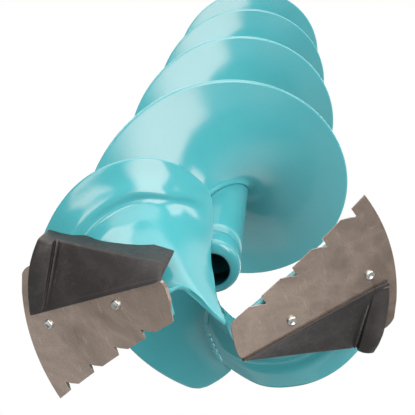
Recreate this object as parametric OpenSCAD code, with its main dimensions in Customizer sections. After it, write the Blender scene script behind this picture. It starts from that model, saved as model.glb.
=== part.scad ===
// Hand-turned ice fishing auger with a two-blade serrated cutting head.
// Millimetres. +Z runs up the shaft. The origin is on the shaft axis, level
// with the inner leading corners of the blades, which are the lowest points.
// The helix is right-handed, so the auger cuts when turned clockwise from above.

/* [Shaft] */
// Outer diameter of the main tube
shaft_d = 24.4; // [23:0.2:26]
// Wall of the main tube
shaft_wall = 1.6; // [1.2:0.1:2.4]
// Height of the shaft's open lower end
shaft_lo = 58.6; // [58:0.2:60]
// Inner radius of the ring that closes in the lower end
end_bore = 7.8; // [7:0.1:9]
// Height of the main tube's upper end
shaft_hi = 758; // [740:1:761]

/* [Flight] */
// Outer diameter of the screw flight
flight_d = 135.4; // [125:0.2:140]
// Lead of the screw flight for one turn
flight_pitch = 158.3; // [150:0.1:165]
// Number of turns of the flight above its lower end
flight_turns = 4; // [3:0.25:4]
// Sheet thickness of the flight
flight_t = 2.2; // [1.6:0.1:3]
// Height of the flight's underside at 360 degrees
flight_z360 = 95.9; // [94:0.1:98]

/* [Blades] */
// Diameter of the hole that the blades cut
cut_d = 155; // [150:0.5:158]
// Thickness of the blade steel
blade_t = 2; // [1.5:0.1:2.4]
// Tilt of the blade plane
blade_tilt = 22.5; // [21:0.25:24]
// Direction in which the blade plane rises
blade_az = 25.6; // [24:0.2:27]
// Number of notches in each cutting edge
notches = 4; // [2:1:4]
// Distance between neighbouring notches, in plan
notch_pitch = 15.1; // [14:0.1:15.6]
// Depth of a notch
notch_deep = 3.8; // [2.5:0.1:4.5]
// Diameter of the blade screws
screw_d = 4; // [3.6:0.1:4.4]

/* [Head] */
// Sheet thickness of the stamped head leaves
leaf_t = 2.2; // [1.8:0.1:2.6]
// Height of the leaves' outer rim behind the shoes
leaf_rim_z = 43.5; // [42:0.5:45]
// Depth of the dished floor of each leaf
leaf_dish = 5; // [2:0.5:6]
// Depth of the curved stiffening channel in each leaf
leaf_channel = 3; // [1:0.5:4]

/* [Fold joint] */
// Height of the fold pin
pin_z = 800; // [796:1:806]
// Diameter of the fold bolt
pin_d = 8; // [7.6:0.1:8.4]
// Thickness of the crank's flat lug
lug_t = 14; // [12:0.5:15]

/* [Crank] */
// Outer diameter of the crank tube
crank_d = 22; // [21:0.5:23]
// Throw of the crank
crank_throw = 150; // [140:1:170]
// Bend radius of the crank tube's centre line
crank_bend = 40; // [36:1:44]
// Straight length that carries the grip
grip_run = 130; // [120:1:140]
// Outer diameter of the grip
grip_d = 34; // [32:0.5:38]
// Diameter of the top knob
knob_d = 62; // [56:1:70]

/* [Hidden] */

teal = [0.33, 0.71, 0.74];
steel = [0.52, 0.47, 0.44];
black = [0.16, 0.16, 0.16];
zinc = [0.8, 0.81, 0.8];
ivory = [0.85, 0.85, 0.8];

shaft_r = shaft_d / 2;
flight_r = flight_d / 2;
cut_r = cut_d / 2;
crank_r = crank_d / 2;

// ---------- helpers ----------
function lerp(from, to, t) = from + (to - from) * t;
function clamp01(t) = min(max(t, 0), 1);
function smooth(t) = let (s = clamp01(t)) s * s * (3 - 2 * s);
function polar(r, angle, z) = [r * cos(angle), r * sin(angle), z];
function polar2(r, angle) = [r * cos(angle), r * sin(angle)];
function arc(centre, r, angles) = [for (a = angles) centre + polar2(r, a)];
function unit(v) = v / max(norm(v), 1e-9);

// Catmull-Rom curve through the points; u runs from 0 to 1
function curve(points, u) =
  let (
    last = len(points) - 1,
    s = clamp01(u) * last,
    i = min(floor(s), last - 1),
    t = s - i,
    before = points[max(i - 1, 0)],
    from = points[i],
    to = points[i + 1],
    after = points[min(i + 2, last)])
  0.5 * (2 * from + (to - before) * t
    + (2 * before - 5 * from + 4 * to - after) * t * t
    + (3 * from - before - 3 * to + after) * t * t * t);

// A closed shell between two grids of points, given as rows
module grid_solid(top, bottom) {
  rows = len(top) - 1;
  cols = len(top[0]) - 1;
  function hi(i, j) = i * (cols + 1) + j;
  function lo(i, j) = hi(i + rows + 1, j);
  function quad(a, b, c, d) = [[a, b, c], [a, c, d]];
  faces = concat(
    [for (i = [0:rows - 1], j = [0:cols - 1])
      each quad(hi(i, j), hi(i, j + 1), hi(i + 1, j + 1), hi(i + 1, j))],
    [for (i = [0:rows - 1], j = [0:cols - 1])
      each quad(lo(i, j), lo(i + 1, j), lo(i + 1, j + 1), lo(i, j + 1))],
    [for (i = [0:rows - 1]) each quad(hi(i, 0), hi(i + 1, 0), lo(i + 1, 0), lo(i, 0))],
    [for (i = [0:rows - 1])
      each quad(hi(i, cols), lo(i, cols), lo(i + 1, cols), hi(i + 1, cols))],
    [for (j = [0:cols - 1]) each quad(hi(0, j), lo(0, j), lo(0, j + 1), hi(0, j + 1))],
    [for (j = [0:cols - 1])
      each quad(hi(rows, j), hi(rows, j + 1), lo(rows, j + 1), lo(rows, j))]);
  polyhedron([for (row = concat(top, bottom)) each row], faces, convexity = 12);
}

module points_hull(points) {
  hull() polyhedron(points, [[for (i = [0:len(points) - 1]) i]]);
}

// An upright tube, bush or washer standing on z = 0
module pipe(outer_r, bore_r, height, outer_fn = 96, bore_fn = 96) {
  difference() {
    cylinder(r = outer_r, h = height, $fn = outer_fn);
    translate([0, 0, -1]) cylinder(r = bore_r, h = height + 2, $fn = bore_fn);
  }
}

// ---------- blades ----------
// The underside of a blade is a plane through its inner leading corner.
// The A parts lie on the +X side; the B parts are turned half a turn.
edge_in = [10, 4.8];
edge_out = [cut_r * cos(11.2), -cut_r * sin(11.2)];
edge_dir = unit(edge_out - edge_in);
edge_normal = [-edge_dir[1], edge_dir[0]];
edge_len = norm(edge_out - edge_in);
edge_bow = 1.2;        // hollow of the edge at mid length
notch_start = 12.6;    // along the edge, to the first notch
notch_stretch = 1.03;  // distance along the edge per unit of notch_pitch
// Notch outline: [distance along the edge, share of notch_deep]
notch_outline = [[-3.2, 0], [-0.2, 0.55], [1.6, 1], [2.4, 0]];
// Trailing side and inner end of the blade in plan, from the outside in: [x, y]
blade_back = [[62.6, 30], [61.4, 26], [10.6, 23.6], [8.8, 23.2], [7.4, 22], [6.8, 19.4],
  [7.6, 13.5]];
// Places of blade A's screws in plan: [x, y]
screw_places = [[30.4, 17.3], [64.6, 16.9]];

// Plan distance from the inner corner in the direction of rise
function uphill(x, y) =
  (x - edge_in[0]) * cos(blade_az) + (y - edge_in[1]) * sin(blade_az);
// Height of the blade's underside over a plan point
function bed(x, y) = tan(blade_tilt) * uphill(x, y);
// Plan point to coordinates in the blade plane
function on_plate(p) = [
  uphill(p[0], p[1]) / cos(blade_tilt),
  -(p[0] - edge_in[0]) * sin(blade_az) + (p[1] - edge_in[1]) * cos(blade_az)];
// Plan point at a distance along the cutting edge and a depth behind it
function edge_point(along, deep) = edge_in + edge_dir * along
  + edge_normal * (deep + edge_bow * (1 - pow(2 * along / edge_len - 1, 2)));

module plate_frame() {
  translate([edge_in[0], edge_in[1], 0]) rotate([0, 0, blade_az]) rotate([0, -blade_tilt, 0])
    children();
}

// Children at the two screws of blade A, square to its plane
module at_screw_pair() {
  for (p = screw_places)
    let (q = on_plate(p)) plate_frame() translate([q[0], q[1], 0]) children();
}

module blade_solid(thick) {
  outline = concat(
    [edge_point(0, 0)],
    [for (i = [0:notches - 1], p = notch_outline)
      edge_point(notch_start + i * notch_pitch * notch_stretch + p[0], notch_deep * p[1])],
    [edge_point(edge_len, 0), edge_out + [6, -1.6]],
    arc([0, 0], cut_r + 4, [-4:6:26]),
    arc(polar2(69.6, 29.6), 8, [20:15:125]),
    blade_back);
  intersection() {
    plate_frame() linear_extrude(thick) polygon([for (p = outline) on_plate(p)]);
    cylinder(r = cut_r, h = 120, $fn = 180);
  }
}

module blade() {
  color(steel) difference() {
    blade_solid(blade_t);
    at_screw_pair() translate([0, 0, -1])
      cylinder(d = screw_d + 0.1, h = blade_t + 2, $fn = 40);
  }
}

module blade_a() { blade(); }
module blade_b() { rotate([0, 0, 180]) blade(); }

// ---------- blade screws ----------
head_z = blade_t + leaf_t + 2.6; // underside of the screw heads, above the blade plane
screw_head_h = 2.6;
screw_washer_d = screw_d * 2.2;

module at_screws() {
  for (turn = [0, 180]) rotate([0, 0, turn]) at_screw_pair() children();
}

module blade_screws() {
  color(zinc) at_screws() {
    translate([0, 0, -1]) cylinder(d = screw_d, h = head_z + 1, $fn = 40);
    difference() {
      translate([0, 0, head_z]) cylinder(d = screw_d * 1.9, h = screw_head_h, $fn = 48);
      translate([0, 0, head_z + 1.2]) cylinder(d = screw_d * 0.8, h = 2, $fn = 6);
    }
  }
}

module blade_screw_washers() {
  color(zinc) at_screws() translate([0, 0, head_z - 0.9])
    pipe(screw_washer_d / 2, (screw_d + 0.3) / 2, 0.8, outer_fn = 48, bore_fn = 40);
}

// ---------- stamped head leaves ----------
// Each leaf is a sheet between a root curve (v = 0) and a rim curve (v = 1),
// both run from the blade (u = 0) to a tail curve (u = 1).
// Leaf A has the centre web; leaf B laps the side of the shaft.
leaf_rows = 36;
leaf_cols = 20;
leaf_lift = blade_t / cos(blade_tilt) + 0.22; // leaf above the blade's underside, along Z
function on_bed(x, y, h = 0) = [x, y, bed(x, y) + leaf_lift + h];
function on_rim(r, angle, h) = polar(r, angle, leaf_rim_z + h);

rim_start = [
  on_bed(70, -6.8), on_bed(73.2, 9), on_bed(72.6, 20, 2.5),
  on_rim(75.6, 27, -6), on_rim(74.6, 38, 0.8), on_rim(72.2, 52, 1.3),
  on_rim(69.2, 65, 2.1), on_rim(64.5, 78, 3.8)];
rim_web = concat(rim_start, [on_rim(57.5, 90, 7.8), on_rim(49.5, 100, 13.2)]);
rim_lap = concat(rim_start, [on_rim(58.6, 93, 8.9), [-16.5, 46.7, 62.5]]);
// Leaf A's root follows the bed, then the arch of the centre web
root_web = [
  on_bed(9.6, 6.4), on_bed(8.3, 12.6), on_bed(7.2, 16.8, 0.5),
  [5.7, 15.5, 6.2], [3.4, 12.9, 12], [0.9, 9.6, 13.4], [-1.8, 5.8, 10],
  [-4.2, 2.4, 5.6], [-6.6, -0.9, 2.4], [-8.7, -4, 1]];
tail_web = [
  [-8.7, -4, 1], [-6.5, -0.5, 13], [-5.2, 1.4, 26], [-4.2, 2.9, 38], [-3.4, 5, 49],
  [-4.6, 9.2, 56.4], [-7.4, 13.8, 61.6], [-10.4, 20, 63.4], [-13, 27, 63.8],
  [-13.4, 35, 62], [-8.6, 48.8, 56.7]];
// Leaf B's root ends at the side of the shaft
root_lap = [
  on_bed(9.6, 6.4), on_bed(8.3, 12.6), on_bed(7.4, 17.4, 0.5),
  [5.6, 16.6, 8], [3.2, 15.2, 17], [0.8, 14, 27], [-1.4, 13.2, 37],
  [-3.4, 12.8, 46], [-5, 12.9, 53], [-6.6, 13.2, 58.6]];
tail_lap = [
  [-6.6, 13.2, 58.6], [-9.5, 17, 62.5], [-13.5, 22, 66], [-17, 29, 67.2],
  [-17.5, 37.5, 64.9], [-16.5, 46.7, 62.5]];

// A point on the leaf's underside
function leaf_point(u, v, web) =
  let (
    root = curve(web ? root_web : root_lap, u),
    rim = curve(web ? rim_web : rim_lap, u),
    tail = web ? tail_web : tail_lap,
    tail_bow = curve(tail, v) - lerp(tail[0], tail[len(tail) - 1], v),
    tail_share = pow(clamp01((u - 0.22) / 0.78), 2.2),
    floor_share = smooth((u - 0.3) / 0.2) * (1 - smooth((u - 0.72) / 0.28)),
    dish = -leaf_dish * sin(180 * v),
    channel = leaf_channel * exp(-pow((v - 0.74) / 0.07, 2)))
  lerp(root, rim, v) + tail_share * tail_bow + [0, 0, floor_share * (dish + channel)];

// Direction of the sheet's thickness: across the surface, but nearly level on the web
function leaf_normal(u, v, web) =
  let (
    step = 0.02,
    along_u = leaf_point(min(u + step, 1), v, web) - leaf_point(max(u - step, 0), v, web),
    along_v = leaf_point(u, min(v + step, 1), web) - leaf_point(u, max(v - step, 0), web),
    web_share = web ? smooth((u - 0.22) / 0.3) * (1 - smooth(v / 0.3)) : 0)
  unit(lerp(unit(cross(along_v, along_u)), [0.79, -0.59, 0.15], web_share));

function leaf_grid(web, lift) =
  [for (i = [0:leaf_rows]) [for (j = [leaf_cols:-1:0])
    let (u = i / leaf_rows, v = j / leaf_cols)
      leaf_point(u, v, web) + lift * leaf_normal(u, v, web)]];

module leaf(web) {
  difference() {
    grid_solid(leaf_grid(web, leaf_t), leaf_grid(web, 0));
    at_screw_pair() translate([0, 0, -1]) {
      cylinder(d = screw_d + 0.3, h = 9, $fn = 40);
      // flat seat for the washer
      translate([0, 0, head_z]) cylinder(d = screw_washer_d + 0.4, h = 8, $fn = 48);
    }
  }
}

module head_leaf_a() { color(teal) leaf(true); }
module head_leaf_b() { color(teal) rotate([0, 0, 180]) leaf(false); }

// ---------- moulded shoe behind each blade ----------
// Sections run from the inner tip (t = 0) to the outer end (t = 1): the front
// edge lies against the blade, the back edge is a ridge, and a wall climbs
// from the ridge to the underside of the leaf.
shoe_in = [7, 21.6];
shoe_out = [70.4, 22.8];
shoe_bead = 1.8;     // depth of the front edge below the blade's underside
shoe_outer_r = 71.9;
// Outer end of the shoe: [angle, height above the blade plane]
shoe_arc = [[25, -0.4], [32, 0.4], [39, 1.4]];

function shoe_front(t, h) = let (p = lerp(shoe_in, shoe_out, t)) [p[0], p[1], bed(p[0], p[1]) + h];
function shoe_ridge(t) = lerp([5.8, 25.5, 9.6], [50.6, 49.6, 30.4], t);
function shoe_wall(t) = lerp([2.2, 24, 24], [51.4, 46, 56], t) + [0, 0, 14 * t * (1 - t)];

// Part of the shoe from t0 to t1, its ridge lowered by drop
module shoe_hull(t0, t1, drop, outer_end) {
  front_drop = shoe_bead + 0.2 * drop;
  points_hull(concat(
    [for (t = [t0, t1]) each [
      shoe_front(t, -front_drop), shoe_ridge(t) - [0, 0, drop], shoe_wall(t), shoe_front(t, 5)]],
    [shoe_wall((t0 + t1) / 2)],
    [if (outer_end) for (q = shoe_arc)
      let (p = polar2(shoe_outer_r, q[0]), z = bed(p[0], p[1]) + q[1])
        each [[p[0], p[1], z - front_drop], [p[0], p[1], z + 9]]]));
}

// The space above the dished underside of a leaf, used to trim the shoe to it
module leaf_block() {
  points_hull([for (u = [0.42:0.08:0.9], v = [0.36, 0.52, 0.68, 0.84, 1])
    let (p = leaf_point(u, v, true)) each [[p[0], p[1], p[2] - 0.15], [p[0], p[1], 90]]]);
}

module blade_shoe() {
  color(black) difference() {
    union() {
      shoe_hull(0, 0.95, drop = 0, outer_end = false);
      shoe_hull(0.9, 1, drop = 3.8, outer_end = true);
    }
    blade_solid(blade_t + 0.1);
    leaf_block();
  }
}

module blade_shoe_a() { blade_shoe(); }
module blade_shoe_b() { rotate([0, 0, 180]) blade_shoe(); }

// ---------- shaft ----------
end_ring_h = 11.6;
end_ring_r = shaft_r + 0.6;
end_lip_r = 2.6;    // rounding at the bore
end_corner_r = 2;   // rounding at the outside
end_plug_h = 8;     // part of the ring inside the tube
end_plug_r = shaft_r - shaft_wall - 0.02;
tube_lo = shaft_lo + end_ring_h;

module shaft_tube() {
  color(teal) translate([0, 0, tube_lo])
    pipe(shaft_r, shaft_r - shaft_wall, shaft_hi - tube_lo);
}

module shaft_end_ring() {
  shelf_z = end_ring_h - 0.05;
  plug_top = end_ring_h + end_plug_h;
  color(teal) translate([0, 0, shaft_lo]) rotate_extrude($fn = 96) polygon(concat(
    arc([end_bore + end_lip_r, end_lip_r], end_lip_r, [180:15:270]),
    arc([end_ring_r - end_corner_r, end_corner_r], end_corner_r, [270:15:360]),
    [[end_ring_r, end_ring_h - 2], [shaft_r, shelf_z], [end_plug_r, shelf_z],
     [end_plug_r, plug_top], [end_bore, plug_top]]));
}

// ---------- screw flight ----------
// The lower end is trimmed to a tongue, so its start angle depends on radius.
turn_steps = 48;
flight_rows = turn_steps * flight_turns + 4;
flight_radii = concat([shaft_r + 0.04], flight_r * [0.44, 0.66, 0.775, 0.89, 1]);
tongue_r = 52;        // radius of the tongue's tip
tongue_angle = 285;   // angle of the tongue's tip
tongue_end = 340;     // angle where the rows become radial
tongue_rows = 6;

function flight_start(r) = r > tongue_r
  ? lerp(tongue_angle, 302, (r - tongue_r) / (flight_r - tongue_r))
  : lerp(300, tongue_angle, clamp01((r - shaft_r) / (tongue_r - shaft_r)));
function flight_angle(i, r) = i >= tongue_rows
  ? tongue_end + (i - tongue_rows) * 360 / turn_steps
  : lerp(flight_start(r), tongue_end, i / tongue_rows);
function flight_grid(lift) =
  [for (i = [0:flight_rows]) [for (j = [len(flight_radii) - 1:-1:0])
    let (r = flight_radii[j], a = flight_angle(i, r))
      polar(r, a, flight_z360 + flight_pitch * (a - 360) / 360 + lift)]];

module screw_flight() { color(teal) grid_solid(flight_grid(flight_t), flight_grid(0)); }

// ---------- fold joint ----------
sleeve_r = shaft_r + 3.8;
sleeve_lap = 22;           // sleeve below the tube's upper end
cheek_in = lug_t / 2 + 0.3;
cheek_t = 5;
cheek_out = cheek_in + cheek_t;
cheek_r = 12;
cheek_lo = shaft_hi + 2;
slack = 0.1;               // gap between neighbouring fold parts
clamp_washer_t = 1.6;
bolt_head_h = 5.3;
// Side outline of one wing of the nut: [distance from the axis, height]
wing_outline = [[4.6, 0.4], [9, 3.2], [14, 7], [18.4, 12], [20.4, 16], [19.6, 18.8],
  [16.4, 19.4], [12.4, 16.2], [9, 12], [6, 9], [4.6, 8.6]];

module pin_hole(clearance) {
  translate([0, 0, pin_z]) rotate([90, 0, 0])
    cylinder(d = pin_d + clearance, h = 60, center = true, $fn = 64);
}

// Children on the fold pin at y, with their +Z turned to +Y
module on_pin(y) { translate([0, y, pin_z]) rotate([-90, 0, 0]) children(); }

module fold_yoke() {
  color(teal) difference() {
    union() {
      translate([0, 0, shaft_hi - sleeve_lap])
        cylinder(r = sleeve_r, h = sleeve_lap + 4, $fn = 96);
      for (side = [-1, 1])
        translate([0, side * (cheek_in + cheek_t / 2), 0]) rotate([90, 0, 0])
          linear_extrude(cheek_t, center = true) {
            translate([0, pin_z]) circle(r = cheek_r, $fn = 64);
            translate([-cheek_r, cheek_lo]) square([2 * cheek_r, pin_z - cheek_lo]);
          }
      // wall that joins the cheeks on the -X side
      translate([-14, -cheek_out, cheek_lo]) cube([3.8, 2 * cheek_out, pin_z + 8 - cheek_lo]);
    }
    translate([0, 0, shaft_hi - sleeve_lap - 1])
      cylinder(r = shaft_r + 0.02, h = sleeve_lap + 1, $fn = 96);
    pin_hole(0.1);
  }
}

module fold_bolt() {
  color(zinc) on_pin(0) {
    translate([0, 0, -cheek_out - slack]) cylinder(d = pin_d, h = 2 * cheek_out + 19, $fn = 64);
    translate([0, 0, -cheek_out - slack - bolt_head_h])
      cylinder(d = 15, h = bolt_head_h, $fn = 6);
  }
}

module clamp_washer() {
  color(zinc) on_pin(cheek_out + slack)
    pipe(9, (pin_d + 0.12) / 2, clamp_washer_t, outer_fn = 64, bore_fn = 64);
}

module wing_nut() {
  color(zinc) on_pin(cheek_out + clamp_washer_t + 2 * slack) difference() {
    union() {
      cylinder(r = 7.4, h = 3, $fn = 64);
      cylinder(r = 6.2, h = 9, $fn = 64);
      for (turn = [0, 180])
        rotate([90, 0, turn]) linear_extrude(3, center = true) polygon(wing_outline);
    }
    translate([0, 0, -1]) cylinder(d = pin_d + 0.12, h = 30, $fn = 64);
  }
}

// ---------- crank ----------
crank_wall = 1.6;
crank_bore_r = crank_r - crank_wall;
foot_run = 20;                            // straight tube above the lug
top_run = 14;                             // straight tube below the knob
arm_run = crank_throw - 2 * crank_bend;   // straight part of each arm
crank_lo = pin_z + 38;                    // lower end of the crank tube
arm_lo = crank_lo + foot_run + crank_bend; // height of the lower arm
grip_run_lo = arm_lo + crank_bend;        // lower end of the straight grip run
grip_run_hi = grip_run_lo + grip_run;
arm_hi = grip_run_hi + crank_bend;        // height of the upper arm
top_run_lo = arm_hi + crank_bend;
crank_top = top_run_lo + top_run;
lug_r = 10;

module crank_lug() {
  color(teal) difference() {
    union() {
      rotate([90, 0, 0]) linear_extrude(lug_t, center = true) {
        translate([0, pin_z]) circle(r = lug_r, $fn = 64);
        translate([-lug_r, pin_z]) square([2 * lug_r, crank_lo - pin_z]);
      }
      translate([0, 0, crank_lo - 6]) cylinder(r = crank_r, h = 6, $fn = 96);
      translate([0, 0, crank_lo - 0.1]) cylinder(r = crank_bore_r - 0.05, h = 14, $fn = 96);
    }
    pin_hole(0.12);
  }
}

module tube_run(length) { pipe(crank_r, crank_bore_r, length); }

// A quarter bend that starts straight up at the origin and ends along +Y
module tube_bend() {
  translate([0, crank_bend, 0]) rotate([90, 0, 90]) rotate([0, 0, 90])
    rotate_extrude(angle = 90, $fn = 96) translate([crank_bend, 0]) difference() {
      circle(r = crank_r, $fn = 96);
      circle(r = crank_bore_r, $fn = 96);
    }
}

module crank_tube() {
  color(teal) {
    translate([0, 0, crank_lo]) tube_run(foot_run);
    translate([0, 0, crank_lo + foot_run]) tube_bend();
    translate([0, crank_throw, grip_run_lo]) rotate([180, 0, 0]) tube_bend();
    translate([0, crank_throw, grip_run_lo]) tube_run(grip_run);
    translate([0, crank_throw, grip_run_hi]) rotate([0, 0, 180]) tube_bend();
    for (z = [arm_lo, arm_hi])
      translate([0, crank_bend, z]) rotate([-90, 0, 0]) tube_run(arm_run);
    translate([0, 0, top_run_lo]) rotate([180, 0, 180]) tube_bend();
    translate([0, 0, top_run_lo]) tube_run(top_run);
  }
}

// ---------- grip ----------
grip_len = grip_run - 14;
grip_lo = grip_run_lo + 7;
grip_hi = grip_lo + grip_len;
collar_h = 6;
collar_gap = 0.3;
bush_h = 16;
bush_r = crank_r + 2;
grip_steps = 24;
grip_waves = 6;

module grip_collars() {
  color(zinc) for (z = [grip_lo - collar_gap - collar_h, grip_hi + collar_gap])
    translate([0, crank_throw, z]) pipe(crank_r + 3.5, crank_r, collar_h);
}

module grip_bushes() {
  color(ivory) for (z = [grip_lo, grip_hi - bush_h])
    translate([0, crank_throw, z]) pipe(bush_r, crank_r + 0.06, bush_h);
}

// Outer radius of the grip at step i: tapered ends, a step at each end, and waves
function grip_radius(i) = let (t = i / grip_steps)
  grip_d / 2 - 2.6 * pow(2 * t - 1, 4) - (i == 0 || i == grip_steps ? 1 : 0)
  + 0.5 * cos(360 * grip_waves * t);

module crank_grip() {
  bore_r = bush_r + 0.02;
  color(black) translate([0, crank_throw, grip_lo]) rotate_extrude($fn = 96) polygon(concat(
    [[bore_r, 0]],
    [for (i = [0:grip_steps]) [grip_radius(i), grip_len * i / grip_steps]],
    [[bore_r, grip_len]]));
}

// ---------- top knob ----------
knob_lo = crank_top + 8;
post_r = 6;
post_h = 38;
post_top = crank_top + post_h;
knob_washer_t = 1.6;
knob_bore_r = post_r + 0.06;
knob_pocket_r = 11;
// Knob's underside and neck, from the bore out: [radius, height]
knob_neck = [[knob_bore_r, 0], [13, 0], [14.2, 0.6], [14.8, 2], [15.2, 5], [16.4, 9], [19, 13]];
// Knob's central pocket, from the rim in: [radius, height]
knob_pocket = [[11.5, 39.2], [knob_pocket_r, 38.6], [knob_pocket_r, 29.9], [knob_bore_r, 29.9]];

module knob_spindle() {
  color(zinc) difference() {
    union() {
      translate([0, 0, crank_top - 13]) cylinder(r = crank_bore_r - 0.02, h = 13, $fn = 96);
      translate([0, 0, crank_top]) cylinder(r = crank_r + 1, h = 4, $fn = 96);
      translate([0, 0, crank_top + 4]) cylinder(r = 8.5, h = 3.8, $fn = 96);
      translate([0, 0, crank_top]) cylinder(r = post_r, h = post_h, $fn = 96);
    }
    translate([0, 0, crank_top + 22]) cylinder(r = 3.05, h = 20, $fn = 48);
  }
}

module top_knob() {
  color(black) translate([0, 0, knob_lo]) rotate_extrude($fn = 128) polygon(concat(
    knob_neck,
    [for (a = [-50:8:86]) [knob_d / 2 - 14 + 14 * cos(a), 25 + 13.5 * sin(a)]],
    knob_pocket));
}

module knob_washer() {
  color(zinc) translate([0, 0, post_top])
    pipe(9.5, 3.2, knob_washer_t, outer_fn = 64, bore_fn = 48);
}

module knob_screw() {
  color(zinc) translate([0, 0, post_top + knob_washer_t + 0.1]) difference() {
    union() {
      translate([0, 0, -15]) cylinder(r = 3, h = 15.1, $fn = 48);
      cylinder(r = 5.2, h = 3.6, $fn = 64);
    }
    translate([0, 0, 1.6]) cylinder(r = 2.6, h = 4, $fn = 6);
  }
}

module knob_cap() {
  color(black) translate([0, 0, knob_lo + 36]) difference() {
    cylinder(r = knob_pocket_r - 0.02, h = 3, $fn = 96);
    translate([0, 0, -1]) cylinder(r = 9, h = 2.6, $fn = 96);
  }
}

shaft_tube();
shaft_end_ring();
screw_flight();
head_leaf_a();
head_leaf_b();
blade_a();
blade_b();
blade_shoe_a();
blade_shoe_b();
blade_screws();
blade_screw_washers();
fold_yoke();
fold_bolt();
clamp_washer();
wing_nut();
crank_lug();
crank_tube();
grip_collars();
grip_bushes();
crank_grip();
knob_spindle();
top_knob();
knob_washer();
knob_screw();
knob_cap();
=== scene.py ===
# A hand-cranked auger. The shaft stands on the Z axis with the cutting head at z = 0 and the
# crank above it, its grip set off towards +Y. The head has two blades, each under a pressed
# leaf and beside a moulded shoe, half a turn apart; the first blade reaches out along +X.
# Sizes are in millimetres and angles in degrees; meshes are scaled to metres when made.
import functools
import math
import bmesh
import bpy
import numpy as np
from mathutils import Matrix, Vector
from mathutils.bvhtree import BVHTree


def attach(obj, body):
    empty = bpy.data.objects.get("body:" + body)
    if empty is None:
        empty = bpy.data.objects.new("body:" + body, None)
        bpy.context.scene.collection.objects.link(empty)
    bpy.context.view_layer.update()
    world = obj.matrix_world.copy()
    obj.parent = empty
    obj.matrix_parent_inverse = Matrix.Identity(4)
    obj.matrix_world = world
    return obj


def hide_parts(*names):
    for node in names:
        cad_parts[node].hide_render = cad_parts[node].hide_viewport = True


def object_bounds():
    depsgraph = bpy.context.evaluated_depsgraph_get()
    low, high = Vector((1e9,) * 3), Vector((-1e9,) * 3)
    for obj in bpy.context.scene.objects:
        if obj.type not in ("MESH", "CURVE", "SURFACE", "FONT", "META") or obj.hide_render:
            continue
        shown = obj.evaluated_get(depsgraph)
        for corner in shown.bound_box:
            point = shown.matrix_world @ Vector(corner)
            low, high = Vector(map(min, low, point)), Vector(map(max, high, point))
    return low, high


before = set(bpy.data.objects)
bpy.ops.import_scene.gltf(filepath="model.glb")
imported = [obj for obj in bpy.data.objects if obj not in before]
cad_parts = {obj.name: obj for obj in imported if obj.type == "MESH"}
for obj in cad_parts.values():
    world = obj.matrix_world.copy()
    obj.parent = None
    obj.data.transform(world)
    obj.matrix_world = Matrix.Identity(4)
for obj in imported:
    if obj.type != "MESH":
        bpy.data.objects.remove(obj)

size_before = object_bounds()
MM = 0.001
RAD = math.pi / 180

# ------------------------------------------------------------------ numbers and curves


def srgb(*rgb):
    """A linear RGBA colour from 0-255 sRGB values."""
    def linear(c):
        c /= 255.0
        return c / 12.92 if c <= 0.04045 else ((c + 0.055) / 1.055) ** 2.4
    return (*map(linear, rgb), 1.0)


def lerp(a, b, t):
    return a + (b - a) * t


def clamp01(t):
    return min(max(t, 0.0), 1.0)


def smooth(t):
    s = clamp01(t)
    return s * s * (3 - 2 * s)


def triangle_wave(phase):
    return 1 - abs(2 * (phase % 1) - 1)


def unit(v):
    v = np.asarray(v, float)
    return v / max(np.linalg.norm(v), 1e-9)


def curve(points, u):
    """A point of the Catmull-Rom curve through the points, u from 0 to 1."""
    points = np.asarray(points, float)
    n = len(points) - 1
    s = clamp01(u) * n
    i = min(int(math.floor(s)), n - 1)
    t = s - i
    a, b, c, d = points[max(i - 1, 0)], points[i], points[i + 1], points[min(i + 2, n)]
    return 0.5 * (2 * b + (c - a) * t + (2 * a - 5 * b + 4 * c - d) * t * t
                  + (3 * b - a - 3 * c + d) * t ** 3)


def polar(r, angle, z):
    return np.array([r * math.cos(angle * RAD), r * math.sin(angle * RAD), z])


def arc(cx, cy, r, start, end, steps):
    angles = [RAD * lerp(start, end, k / steps) for k in range(steps + 1)]
    return [(cx + r * math.cos(a), cy + r * math.sin(a)) for a in angles]


def raised(base, profile):
    """A profile whose heights are measured from a base height."""
    return [(r, base + h) for r, h in profile]


HALF_TURN = np.diag([-1.0, -1.0, 1.0])


def turned(verts):
    """The same points half a turn round the shaft."""
    return [HALF_TURN @ np.asarray(v, float) for v in verts]


# ------------------------------------------------------------------ mesh builders
# Each returns points and faces.


def outward(verts, faces):
    """The faces, all reversed if the volume they enclose comes out negative."""
    v = np.asarray(verts, float)
    volume = sum(np.dot(v[f[0]], np.cross(v[f[k]], v[f[k + 1]]))
                 for f in faces for k in range(1, len(f) - 1))
    return faces if volume > 0 else [tuple(reversed(f)) for f in faces]


def loft(loops, endless=False):
    """A skin over loops of equal length, with end caps or joined last to first."""
    n, count = len(loops[0]), len(loops)
    verts = [p for loop in loops for p in loop]
    faces = []
    for k in range(count if endless else count - 1):
        k2 = (k + 1) % count
        for i in range(n):
            j = (i + 1) % n
            faces.append((k * n + i, k * n + j, k2 * n + j, k2 * n + i))
    if not endless:
        faces.append(tuple(reversed(range(n))))
        faces.append(tuple((count - 1) * n + i for i in range(n)))
    return verts, outward(verts, faces)


def spin(profile, seg, centre_y=0, wobble=None):
    """The points of a (radius, height) profile at each step round a vertical axis."""
    verts = []
    for s in range(seg):
        a = 2 * math.pi * s / seg
        for r, h in profile:
            if wobble:
                r, h = wobble(r, h, a)
            verts.append((r * math.cos(a), r * math.sin(a) + centre_y, h))
    return verts


def lathe(profile, seg=128, centre_y=0, wobble=None):
    """A closed (radius, height) profile turned about a vertical axis."""
    verts, faces = spin(profile, seg, centre_y, wobble), []
    m = len(profile)
    for s in range(seg):
        t = (s + 1) % seg
        for i in range(m):
            j = (i + 1) % m
            faces.append((s * m + i, t * m + i, t * m + j, s * m + j))
    return verts, outward(verts, faces)


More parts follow.
